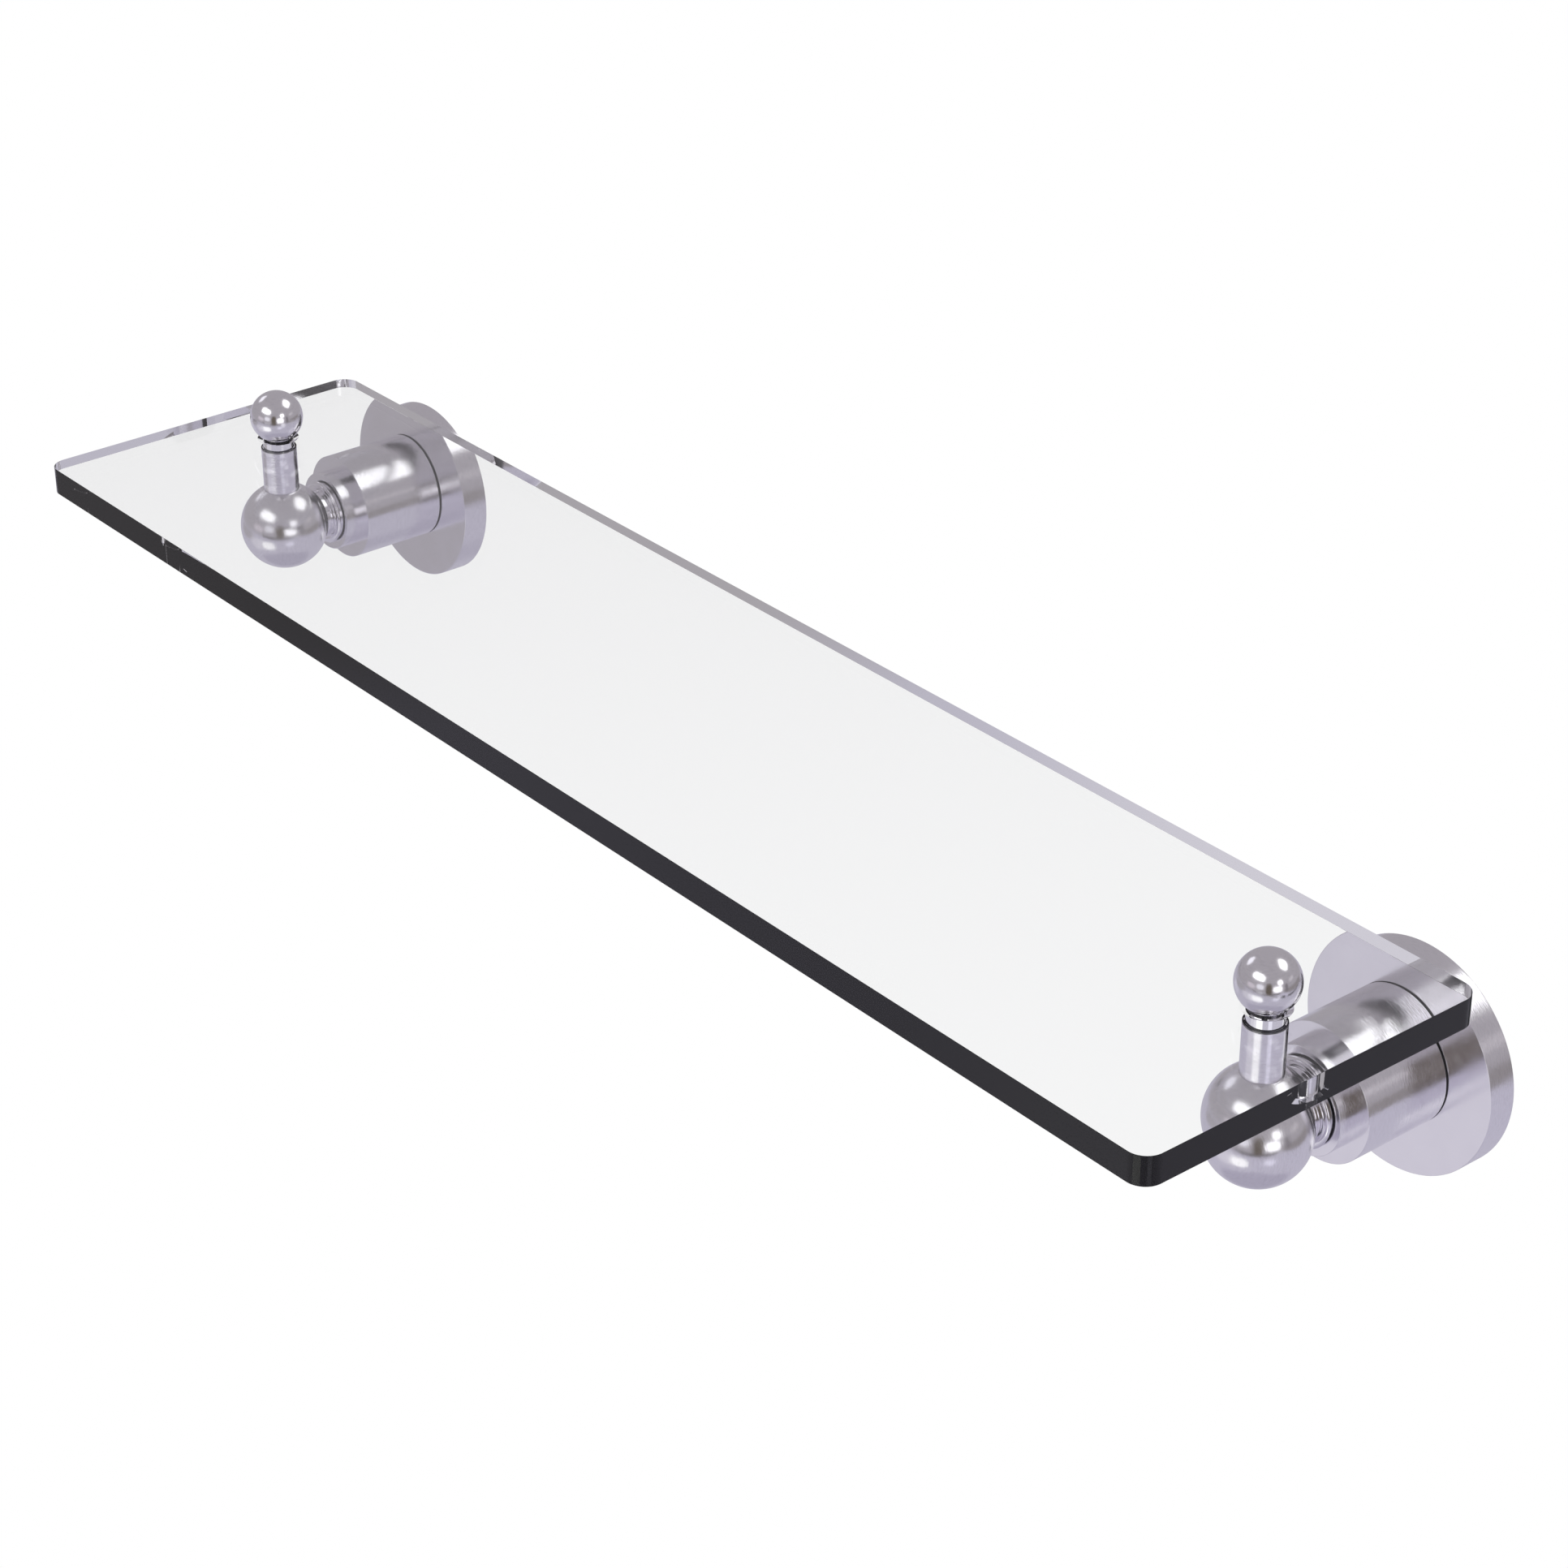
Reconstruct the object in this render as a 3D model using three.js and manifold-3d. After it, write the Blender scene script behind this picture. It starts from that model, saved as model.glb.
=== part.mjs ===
// Glass wall shelf on two turned metal brackets, each with a ball finial that clamps the glass.
// Millimetres, +Z up. The wall is the plane y = 0 and the room is on its -Y side. The origin is on
// the wall, midway between the two brackets, at the height of their arms.
import * as THREE from 'three';
import { mergeVertices } from 'three/addons/utils/BufferGeometryUtils.js';
import Module from 'manifold-3d';

const wasm = await Module();
wasm.setup();

const INCH = 25.4;

// Glass shelf
const SHELF_LENGTH = 22 * INCH;
const SHELF_DEPTH = 5 * INCH;
const SHELF_THICKNESS = 0.375 * INCH;
const SHELF_CORNER_RADIUS = 0.25 * INCH;
const SHELF_HOLE_RADIUS = 5.6;
const SHELF_COUNTERSINK_WIDTH = 1.8;
const SHELF_COUNTERSINK_DEPTH = 0.9;
const SHELF_HOLE_ARRIS = 0.3;
const SHELF_TOP_Z = 40.5;
const SHELF_UNDERSIDE_Z = SHELF_TOP_Z - SHELF_THICKNESS;
const HOLE_TO_BACK_EDGE = 2 * INCH;

// Brackets: the arm runs along Y from the wall to the ball
const BRACKET_X = 9.75 * INCH;
const FLANGE_RADIUS = 1.375 * INCH;
const FLANGE_THICKNESS = 0.375 * INCH;
const BARREL_RADIUS = 0.75 * INCH;
const BARREL_AND_GASKET_LENGTH = 1.25 * INCH;
const COLLAR_RADIUS = 0.5625 * INCH;
const COLLAR_LENGTH = 0.25 * INCH;
const BALL_RADIUS = 0.625 * INCH;
const POST_RADIUS = 0.25 * INCH;
const NECK_RADIUS = 8.7;
const GASKET_THICKNESS = 0.45;
const EDGE_CHAMFER = 0.2;

// Stations along the arm, all on the room side of the wall
const FLANGE_FRONT_Y = -FLANGE_THICKNESS;
const BARREL_BACK_Y = FLANGE_FRONT_Y - GASKET_THICKNESS;
const BARREL_FRONT_Y = FLANGE_FRONT_Y - BARREL_AND_GASKET_LENGTH;
const COLLAR_FRONT_Y = BARREL_FRONT_Y - COLLAR_LENGTH;
const BALL_Y = -65.425;
const SHELF_BACK_Y = BALL_Y + HOLE_TO_BACK_EDGE;
const NECK_SEAT_Y = BALL_Y + Math.sqrt(BALL_RADIUS ** 2 - NECK_RADIUS ** 2);

// Beaded neck
const BEAD_RADIUS = 11.6;
const BEAD_BASE_RADIUS = 10.1;
const BEAD_Y = -48.85;
const BEAD_HALF_WIDTH = 0.8;
const BEAD_END_ANGLE = (5 / 6) * Math.PI;
const FILLET_WIDTH = 0.4;

// Inside the flange
const RECESS_RADIUS = 28;
const RECESS_DEPTH = 6;
const PLATE_THICKNESS = 4;
const PLATE_FRONT_RADIUS = 27.4;
const PLATE_BACK_RADIUS = 25.6;
const PLATE_HOLE_RADIUS = 8.5;
const PLATE_SCREW_OFFSET_Z = 17;
const PLATE_SCREW_HOLE_RADIUS = 2.4;
const PLATE_COUNTERSINK_RADIUS = 4.5;
const GRUB_RADIUS = 2;
const GRUB_Y = -3;

// Tie rod, and the bores it passes through
const ROD_RADIUS = 0.125 * INCH;
const ROD_BORE_RADIUS = 3.4;
const ROD_FRONT_Y = -71;
const ROD_BACK_Y = -2;
const ROD_WASHER_THICKNESS = 0.8;
const ROD_WASHER_RADIUS = 7.5;
const ROD_NUT_THICKNESS = 2.8;
const ROD_NUT_ACROSS_FLATS = 0.4375 * INCH;

// Post, and what clamps the glass
const POST_SEAT_Z = Math.sqrt(BALL_RADIUS ** 2 - POST_RADIUS ** 2);
const TENON_RADIUS = 3.9;
const TENON_BOTTOM_Z = 6.5;
const WASHER_THICKNESS = 0.5;
const POST_TOP_Z = SHELF_UNDERSIDE_Z - WASHER_THICKNESS;
const STUD_RADIUS = 2.4;
const STUD_BORE_RADIUS = 2.5;
const STUD_BOTTOM_Z = 22.5;
const STUD_TOP_Z = 44.5;
const FINIAL_RADIUS = 0.375 * INCH;
const FINIAL_Z = SHELF_TOP_Z + 8.1;
const SHANK_RADIUS = 5.3;
const SHANK_BOTTOM_Z = POST_TOP_Z + 0.55;

// Facets round a turn
const COARSE = 12;
const MEDIUM = 28;
const FINE = 40;

const satinMetal = new THREE.MeshStandardMaterial({ color: 0xb9b6bf, roughness: 0.3, metalness: 1 });
const smoothMetal = new THREE.MeshStandardMaterial({ color: 0xb4b1b8, roughness: 0.18, metalness: 1 });
const zincSteel = new THREE.MeshStandardMaterial({ color: 0x9c9da0, roughness: 0.4, metalness: 1 });
const blackRubber = new THREE.MeshStandardMaterial({ color: 0x0c0c0d, roughness: 0.7, metalness: 0 });
const clearPlastic = new THREE.MeshStandardMaterial({
  color: 0xf2f4f6, roughness: 0.15, metalness: 0, transparent: true, opacity: 0.4,
});
const clearGlass = new THREE.MeshStandardMaterial({
  color: 0xe9eef0, roughness: 0.02, metalness: 0, transparent: true, opacity: 0.35,
});

// ---- shape helpers

// A solid of revolution about Y. The profile is a list of [radius, y] points.
function turnedAboutY(profile, segments) {
  return new THREE.LatheGeometry(profile.map(([radius, y]) => new THREE.Vector2(radius, y)), segments);
}

// A solid of revolution about Z. The profile is a list of [radius, z] points.
function turnedAboutZ(profile, segments) {
  return turnedAboutY(profile, segments).rotateX(Math.PI / 2);
}

// The same profile closed on itself, for a ring with a hole through it.
function closed(profile) {
  return [...profile, profile[0]];
}

// Points of a circular arc about (0, centre), from one polar angle to another, as [radius, height].
function arc(centre, radius, fromAngle, toAngle, steps) {
  return Array.from({ length: steps + 1 }, (_, i) => {
    const angle = fromAngle + (toAngle - fromAngle) * (i / steps);
    return [Math.max(0, radius * Math.cos(angle)), centre + radius * Math.sin(angle)];
  });
}

function toSolid(geometry) {
  const bare = geometry.clone();
  bare.deleteAttribute('normal');
  bare.deleteAttribute('uv');
  const merged = mergeVertices(bare, 1e-4);
  const corners = merged.index.array;
  const kept = [];
  for (let i = 0; i < corners.length; i += 3) {
    const [a, b, c] = corners.slice(i, i + 3);
    if (a !== b && b !== c && c !== a) kept.push(a, b, c);
  }
  return new wasm.Manifold(new wasm.Mesh({
    numProp: 3,
    vertProperties: new Float32Array(merged.attributes.position.array),
    triVerts: new Uint32Array(kept),
  }));
}

function toGeometry(solid) {
  const { vertProperties, triVerts } = solid.getMesh();
  const geometry = new THREE.BufferGeometry();
  geometry.setAttribute('position', new THREE.BufferAttribute(vertProperties, 3));
  geometry.setIndex(new THREE.BufferAttribute(triVerts, 1));
  geometry.computeVertexNormals();
  return geometry;
}

function cut(geometry, ...tools) {
  const start = toSolid(geometry);
  return toGeometry(tools.reduce((solid, tool) => solid.subtract(toSolid(tool)), start));
}

function boxFrom([x0, y0, z0], [x1, y1, z1]) {
  const box = new THREE.BoxGeometry(x1 - x0, y1 - y0, z1 - z0);
  return box.translate((x0 + x1) / 2, (y0 + y1) / 2, (z0 + z1) / 2);
}

function named(name, geometry, material) {
  const mesh = new THREE.Mesh(geometry, material);
  mesh.name = name;
  return mesh;
}

// ---- glass

function glassShelf() {
  const halfLength = SHELF_LENGTH / 2;
  const frontY = SHELF_BACK_Y - SHELF_DEPTH;
  const r = SHELF_CORNER_RADIUS;
  const outline = new THREE.Shape();
  outline.moveTo(-halfLength + r, frontY);
  outline.lineTo(halfLength - r, frontY);
  outline.absarc(halfLength - r, frontY + r, r, -Math.PI / 2, 0, false);
  outline.lineTo(halfLength, SHELF_BACK_Y - r);
  outline.absarc(halfLength - r, SHELF_BACK_Y - r, r, 0, Math.PI / 2, false);
  outline.lineTo(-halfLength + r, SHELF_BACK_Y);
  outline.absarc(-halfLength + r, SHELF_BACK_Y - r, r, Math.PI / 2, Math.PI, false);
  outline.lineTo(-halfLength, frontY + r);
  outline.absarc(-halfLength + r, frontY + r, r, Math.PI, 1.5 * Math.PI, false);
  for (const side of [-1, 1]) {
    const hole = new THREE.Path();
    hole.absarc(side * BRACKET_X, BALL_Y, SHELF_HOLE_RADIUS, 0, 2 * Math.PI, true);
    outline.holes.push(hole);
  }
  const sheet = new THREE.ExtrudeGeometry(outline, {
    depth: SHELF_THICKNESS, bevelEnabled: false, curveSegments: 10,
  });
  const flares = [-BRACKET_X, BRACKET_X].flatMap((x) => [
    holeFlare(SHELF_TOP_Z, 1, SHELF_COUNTERSINK_WIDTH, SHELF_COUNTERSINK_DEPTH),
    holeFlare(SHELF_UNDERSIDE_Z, -1, SHELF_HOLE_ARRIS, SHELF_HOLE_ARRIS),
  ].map((cone) => cone.translate(x, BALL_Y, 0)));
  return cut(sheet.translate(0, 0, SHELF_UNDERSIDE_Z), ...flares);
}

// A cone that widens a hole towards one face of the glass. It opens upwards for 1, downwards for -1.
function holeFlare(faceZ, opening, width, depth) {
  const slope = width / depth;
  const mouthRadius = SHELF_HOLE_RADIUS + width;
  const profile = [
    [0, faceZ - opening * (mouthRadius / slope)],
    [mouthRadius + slope, faceZ + opening],
    [0, faceZ + opening],
  ];
  return turnedAboutZ(opening > 0 ? profile : profile.reverse(), MEDIUM);
}

// ---- wall fixing, hidden in the flange

// A disc with a bevelled rim, a centre hole and two countersunk holes for wall screws.
function wallPlate() {
  const ring = turnedAboutY(closed([
    [PLATE_HOLE_RADIUS, -PLATE_THICKNESS],
    [PLATE_FRONT_RADIUS, -PLATE_THICKNESS],
    [PLATE_BACK_RADIUS, 0],
    [PLATE_HOLE_RADIUS, 0],
  ]), FINE);
  const screwHole = [
    [0, -PLATE_THICKNESS - 1],
    [PLATE_COUNTERSINK_RADIUS, -PLATE_THICKNESS - 1],
    [PLATE_COUNTERSINK_RADIUS, -PLATE_THICKNESS + 0.2],
    [PLATE_SCREW_HOLE_RADIUS, -PLATE_THICKNESS + 2.2],
    [PLATE_SCREW_HOLE_RADIUS, 1],
    [0, 1],
  ];
  const holes = [-PLATE_SCREW_OFFSET_Z, PLATE_SCREW_OFFSET_Z].map((z) => (
    turnedAboutY(screwHole, COARSE).translate(0, 0, z)
  ));
  return cut(ring, ...holes);
}

// ---- arm, from the wall to the ball

function flange() {
  const shell = turnedAboutY(closed([
    [ROD_BORE_RADIUS, FLANGE_FRONT_Y],
    [FLANGE_RADIUS - EDGE_CHAMFER, FLANGE_FRONT_Y],
    [FLANGE_RADIUS, FLANGE_FRONT_Y + EDGE_CHAMFER],
    [FLANGE_RADIUS, 0],
    [RECESS_RADIUS, 0],
    [RECESS_RADIUS, -RECESS_DEPTH],
    [ROD_BORE_RADIUS, -RECESS_DEPTH],
  ]), FINE);
  const grubHole = new THREE.CylinderGeometry(GRUB_RADIUS + 0.1, GRUB_RADIUS + 0.1, 12, COARSE);
  grubHole.rotateX(Math.PI / 2).translate(0, GRUB_Y, -(RECESS_RADIUS + 4));
  return cut(shell, grubHole);
}

// A socket set screw with a cone point, standing point up in the underside of the flange.
function flangeGrubScrew() {
  const bottomZ = -FLANGE_RADIUS + 0.7;
  const body = turnedAboutZ([
    [0, bottomZ],
    [GRUB_RADIUS, bottomZ],
    [GRUB_RADIUS, -RECESS_RADIUS - 0.4],
    [0.8, -PLATE_FRONT_RADIUS - 0.2],
    [0, -PLATE_FRONT_RADIUS - 0.2],
  ], COARSE);
  const socket = new THREE.CylinderGeometry(1.15, 1.15, 5, 6);
  socket.rotateX(Math.PI / 2).translate(0, 0, bottomZ);
  return cut(body, socket).translate(0, GRUB_Y, 0);
}

function tieRod() {
  return turnedAboutY([
    [0, ROD_FRONT_Y],
    [ROD_RADIUS - EDGE_CHAMFER, ROD_FRONT_Y],
    [ROD_RADIUS, ROD_FRONT_Y + EDGE_CHAMFER],
    [ROD_RADIUS, ROD_BACK_Y - EDGE_CHAMFER],
    [ROD_RADIUS - EDGE_CHAMFER, ROD_BACK_Y],
    [0, ROD_BACK_Y],
  ], COARSE);
}

function tieRodWasher() {
  return turnedAboutY(closed([
    [ROD_BORE_RADIUS, -RECESS_DEPTH],
    [ROD_WASHER_RADIUS, -RECESS_DEPTH],
    [ROD_WASHER_RADIUS, -RECESS_DEPTH + ROD_WASHER_THICKNESS],
    [ROD_BORE_RADIUS, -RECESS_DEPTH + ROD_WASHER_THICKNESS],
  ]), COARSE);
}

function tieRodNut() {
  const frontY = -RECESS_DEPTH + ROD_WASHER_THICKNESS;
  const cornerRadius = ROD_NUT_ACROSS_FLATS / Math.sqrt(3);
  const boreLength = ROD_NUT_THICKNESS + 2;
  const blank = new THREE.CylinderGeometry(cornerRadius, cornerRadius, ROD_NUT_THICKNESS, 6);
  const bore = new THREE.CylinderGeometry(ROD_BORE_RADIUS, ROD_BORE_RADIUS, boreLength, COARSE);
  return cut(blank, bore).translate(0, frontY + ROD_NUT_THICKNESS / 2, 0);
}

function barrelGasket() {
  return turnedAboutY(closed([
    [BARREL_RADIUS / 2, BARREL_BACK_Y],
    [BARREL_RADIUS, BARREL_BACK_Y],
    [BARREL_RADIUS, FLANGE_FRONT_Y],
    [BARREL_RADIUS / 2, FLANGE_FRONT_Y],
  ]), FINE);
}

function barrel() {
  return turnedAboutY(closed([
    [ROD_BORE_RADIUS, BARREL_FRONT_Y],
    [BARREL_RADIUS - EDGE_CHAMFER, BARREL_FRONT_Y],
    [BARREL_RADIUS, BARREL_FRONT_Y + EDGE_CHAMFER],
    [BARREL_RADIUS, BARREL_BACK_Y],
    [ROD_BORE_RADIUS, BARREL_BACK_Y],
  ]), FINE);
}

function collar() {
  return turnedAboutY(closed([
    [ROD_BORE_RADIUS, COLLAR_FRONT_Y],
    [COLLAR_RADIUS - EDGE_CHAMFER, COLLAR_FRONT_Y],
    [COLLAR_RADIUS, COLLAR_FRONT_Y + EDGE_CHAMFER],
    [COLLAR_RADIUS, BARREL_FRONT_Y],
    [ROD_BORE_RADIUS, BARREL_FRONT_Y],
  ]), FINE);
}

// From the ball: a plain neck, a square fillet, a round bead and a short land against the collar.
function beadedNeck() {
  const beadSteps = 5;
  const bead = Array.from({ length: beadSteps + 1 }, (_, i) => {
    const angle = BEAD_END_ANGLE * (i / beadSteps);
    return [
      BEAD_BASE_RADIUS + (BEAD_RADIUS - BEAD_BASE_RADIUS) * Math.sin(angle),
      BEAD_Y - BEAD_HALF_WIDTH * Math.cos(angle),
    ];
  });
  const filletY = BEAD_Y - BEAD_HALF_WIDTH - FILLET_WIDTH;
  return turnedAboutY(closed([
    [ROD_BORE_RADIUS, NECK_SEAT_Y],
    [NECK_RADIUS, NECK_SEAT_Y],
    [NECK_RADIUS, filletY],
    [BEAD_BASE_RADIUS, filletY],
    ...bead,
    [bead.at(-1)[0], COLLAR_FRONT_Y],
    [ROD_BORE_RADIUS, COLLAR_FRONT_Y],
  ]), FINE);
}

// A ball with a flat for the neck, a flat for the post, and a blind bore behind each.
function ball() {
  const neckAngle = Math.acos(NECK_RADIUS / BALL_RADIUS);
  const sphere = turnedAboutY([
    ...arc(BALL_Y, BALL_RADIUS, -Math.PI / 2, neckAngle, 11),
    [0, NECK_SEAT_Y],
  ], MEDIUM);
  const postFlat = boxFrom(
    [-BALL_RADIUS, BALL_Y - BALL_RADIUS, POST_SEAT_Z],
    [BALL_RADIUS, BALL_Y + BALL_RADIUS, BALL_RADIUS + 1],
  );
  const rodBore = turnedAboutY([
    [0, ROD_FRONT_Y - 0.5],
    [ROD_BORE_RADIUS, ROD_FRONT_Y - 0.5],
    [ROD_BORE_RADIUS, NECK_SEAT_Y + 1],
    [0, NECK_SEAT_Y + 1],
  ], COARSE);
  const tenonBore = turnedAboutZ([
    [0, TENON_BOTTOM_Z - 0.5],
    [TENON_RADIUS + 0.3, TENON_BOTTOM_Z - 0.5],
    [TENON_RADIUS + 0.3, POST_SEAT_Z + 1],
    [0, POST_SEAT_Z + 1],
  ], COARSE).translate(0, BALL_Y, 0);
  return cut(sphere, postFlat, rodBore, tenonBore);
}

// ---- post and glass clamp, all turned about the upright axis through the ball

function post() {
  return turnedAboutZ([
    [0, TENON_BOTTOM_Z],
    [TENON_RADIUS, TENON_BOTTOM_Z],
    [TENON_RADIUS, POST_SEAT_Z],
    [POST_RADIUS, POST_SEAT_Z],
    [POST_RADIUS, POST_TOP_Z - EDGE_CHAMFER],
    [POST_RADIUS - EDGE_CHAMFER, POST_TOP_Z],
    [STUD_BORE_RADIUS, POST_TOP_Z],
    [STUD_BORE_RADIUS, STUD_BOTTOM_Z - 3],
    [0, STUD_BOTTOM_Z - 3],
  ], MEDIUM);
}

function glassWasher() {
  return turnedAboutZ(closed([
    [STUD_BORE_RADIUS + 0.4, POST_TOP_Z],
    [POST_RADIUS, POST_TOP_Z],
    [POST_RADIUS, SHELF_UNDERSIDE_Z],
    [STUD_BORE_RADIUS + 0.4, SHELF_UNDERSIDE_Z],
  ]), MEDIUM);
}

function finial() {
  const shankAngle = -Math.acos(SHANK_RADIUS / FINIAL_RADIUS);
  return turnedAboutZ([
    [0, STUD_TOP_Z + 0.5],
    [STUD_BORE_RADIUS, STUD_TOP_Z + 0.5],
    [STUD_BORE_RADIUS, SHANK_BOTTOM_Z],
    [SHANK_RADIUS - EDGE_CHAMFER, SHANK_BOTTOM_Z],
    [SHANK_RADIUS, SHANK_BOTTOM_Z + EDGE_CHAMFER],
    ...arc(FINIAL_Z, FINIAL_RADIUS, shankAngle, Math.PI / 2, 9),
  ], MEDIUM);
}

function finialStud() {
  return turnedAboutZ([
    [0, STUD_BOTTOM_Z],
    [STUD_RADIUS - EDGE_CHAMFER, STUD_BOTTOM_Z],
    [STUD_RADIUS, STUD_BOTTOM_Z + EDGE_CHAMFER],
    [STUD_RADIUS, STUD_TOP_Z - EDGE_CHAMFER],
    [STUD_RADIUS - EDGE_CHAMFER, STUD_TOP_Z],
    [0, STUD_TOP_Z],
  ], COARSE);
}

// ---- assembly

function bracket(side) {
  const group = new THREE.Group();
  group.add(
    named(`${side}_wall_plate`, wallPlate(), zincSteel),
    named(`${side}_flange`, flange(), satinMetal),
    named(`${side}_flange_grub_screw`, flangeGrubScrew(), zincSteel),
    named(`${side}_tie_rod`, tieRod(), zincSteel),
    named(`${side}_tie_rod_washer`, tieRodWasher(), zincSteel),
    named(`${side}_tie_rod_nut`, tieRodNut(), zincSteel),
    named(`${side}_barrel_gasket`, barrelGasket(), blackRubber),
    named(`${side}_barrel`, barrel(), satinMetal),
    named(`${side}_collar`, collar(), satinMetal),
    named(`${side}_beaded_neck`, beadedNeck(), satinMetal),
    named(`${side}_ball`, ball(), smoothMetal),
  );
  const clamp = new THREE.Group();
  clamp.position.y = BALL_Y;
  clamp.add(
    named(`${side}_post`, post(), satinMetal),
    named(`${side}_glass_washer`, glassWasher(), clearPlastic),
    named(`${side}_finial`, finial(), smoothMetal),
    named(`${side}_finial_stud`, finialStud(), zincSteel),
  );
  group.add(clamp);
  return group;
}

const shelf = new THREE.Group();
shelf.add(named('glass_shelf', glassShelf(), clearGlass));
for (const [side, x] of [['left', -BRACKET_X], ['right', BRACKET_X]]) {
  const arm = bracket(side);
  arm.position.x = x;
  shelf.add(arm);
}

export default shelf;
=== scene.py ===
"""The looks of a glass wall shelf on two turned metal brackets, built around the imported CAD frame.

The frame is in metres: +X to the right, +Y into the wall, +Z up, origin on the wall midway between the
brackets at the height of their arms. Sizes come from the CAD boxes. Shapes that a box can't say are
named below in millimetres. Every turned piece is modelled about its own local Z axis.
"""
import math

import bmesh
import bpy
from mathutils import Matrix, Vector


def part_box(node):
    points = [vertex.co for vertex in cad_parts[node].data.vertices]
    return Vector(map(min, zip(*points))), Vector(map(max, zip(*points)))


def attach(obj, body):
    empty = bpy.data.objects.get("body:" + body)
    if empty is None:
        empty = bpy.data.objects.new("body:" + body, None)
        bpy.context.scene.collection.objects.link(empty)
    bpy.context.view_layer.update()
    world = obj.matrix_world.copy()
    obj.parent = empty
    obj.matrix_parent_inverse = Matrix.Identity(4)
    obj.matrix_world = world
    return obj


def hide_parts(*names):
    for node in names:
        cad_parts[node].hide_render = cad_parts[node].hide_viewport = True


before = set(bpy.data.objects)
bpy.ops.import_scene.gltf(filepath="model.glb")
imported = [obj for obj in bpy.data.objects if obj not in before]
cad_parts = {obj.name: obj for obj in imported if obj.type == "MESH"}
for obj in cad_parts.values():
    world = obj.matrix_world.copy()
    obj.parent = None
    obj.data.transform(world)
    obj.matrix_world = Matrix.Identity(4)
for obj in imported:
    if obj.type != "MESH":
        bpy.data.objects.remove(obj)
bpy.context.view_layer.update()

MM = 0.001
FIXED_BODY = "shelf_and_brackets"
SIDES = ("left", "right")

# ---- shapes that the CAD boxes don't give, in millimetres

EDGE_FILLET = 0.12
GUARD = 0.25                # a support ring stands this far from each fillet
RECESS_RADIUS = 28.0
RECESS_DEPTH = 6.0
ROD_BORE_RADIUS = 3.4
PLATE_BACK_RADIUS = 25.6
PLATE_HOLE_RADIUS = 8.5
PLATE_SCREW_OFFSET = 17.0
PLATE_SCREW_HOLE_RADIUS = 2.4
PLATE_COUNTERSINK_RADIUS = 4.5
GRUB_SOCKET_RADIUS = 1.15
GRUB_SOCKET_DEPTH = 2.5
GRUB_THREAD_PITCH = 0.7
THREAD_DEPTH_SHARE = 0.6    # of the pitch
THREAD_RINGS_A_TURN = 8
NUT_CHAMFER_DEGREES = 60    # from the nut's face normal
NUT_FACE_SHARE = 0.97       # round face of the nut, as a share of its flats
ROD_THREAD_PITCH = 1.058    # 24 turns an inch
ROD_THREAD_LENGTH = 22.0    # at each end
STUD_THREAD_PITCH = 0.794   # 32 turns an inch
BEAD_RADIUS = 11.6
BEAD_BASE_RADIUS = 10.1
BEAD_Y = -48.85
BEAD_HALF_WIDTH = 0.8
BEAD_END_DEGREES = 150
FILLET_WIDTH = 0.4
NECK_RADIUS = 8.7
TENON_RADIUS = 3.9
STUD_BORE_RADIUS = 2.5
STUD_BORE_DEPTH = 3.0       # below the stud
BORE_CLEARANCE = 0.5        # past the end of a rod, tenon or stud
TENON_CLEARANCE = 0.3       # round the tenon
WASHER_BORE_CLEARANCE = 0.4
GRUB_HOLE_CLEARANCE = 0.1
GASKET_INSET = 0.05
SHANK_RADIUS = 5.3
GLASS_CORNER_RADIUS = 6.35
GLASS_HOLE_RADIUS = 5.6
GLASS_COUNTERSINK_WIDTH = 1.8
GLASS_COUNTERSINK_DEPTH = 0.9
GLASS_HOLE_ARRIS = 0.3      # at the hole's lower edge
GLASS_ARRIS = 0.05          # round the outline
SHARP_DEGREES = 32          # a turned piece's edge is crisp from here up
GLASS_SHARP_DEGREES = 12    # chamfers meet the faces in crisp lines
FLOOR_Z = -0.6              # metres

FINE = 128                  # facets round a large turned piece
MEDIUM = 96
SMALL = 48


# ---- camera

def aim_camera():
    """The view from the room, to the right and above, looking down at the shelf."""
    turn_left, look_down, roll = math.radians(50.915), math.radians(28.934), math.radians(-0.135)
    place = (0.814604, -0.693252, 0.571542)
    data = bpy.data.cameras.new("camera")
    data.sensor_width = 36.0
    data.lens = 84.23
    data.clip_start, data.clip_end = 0.01, 50
    camera = bpy.data.objects.new("camera", data)
    bpy.context.scene.collection.objects.link(camera)
    turned = Matrix.Rotation(turn_left, 4, "Z") @ Matrix.Rotation(math.pi / 2 - look_down, 4, "X")
    camera.matrix_world = Matrix.Translation(place) @ turned @ Matrix.Rotation(roll, 4, "Z")
    bpy.context.scene.camera = camera


# ---- node helpers

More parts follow.
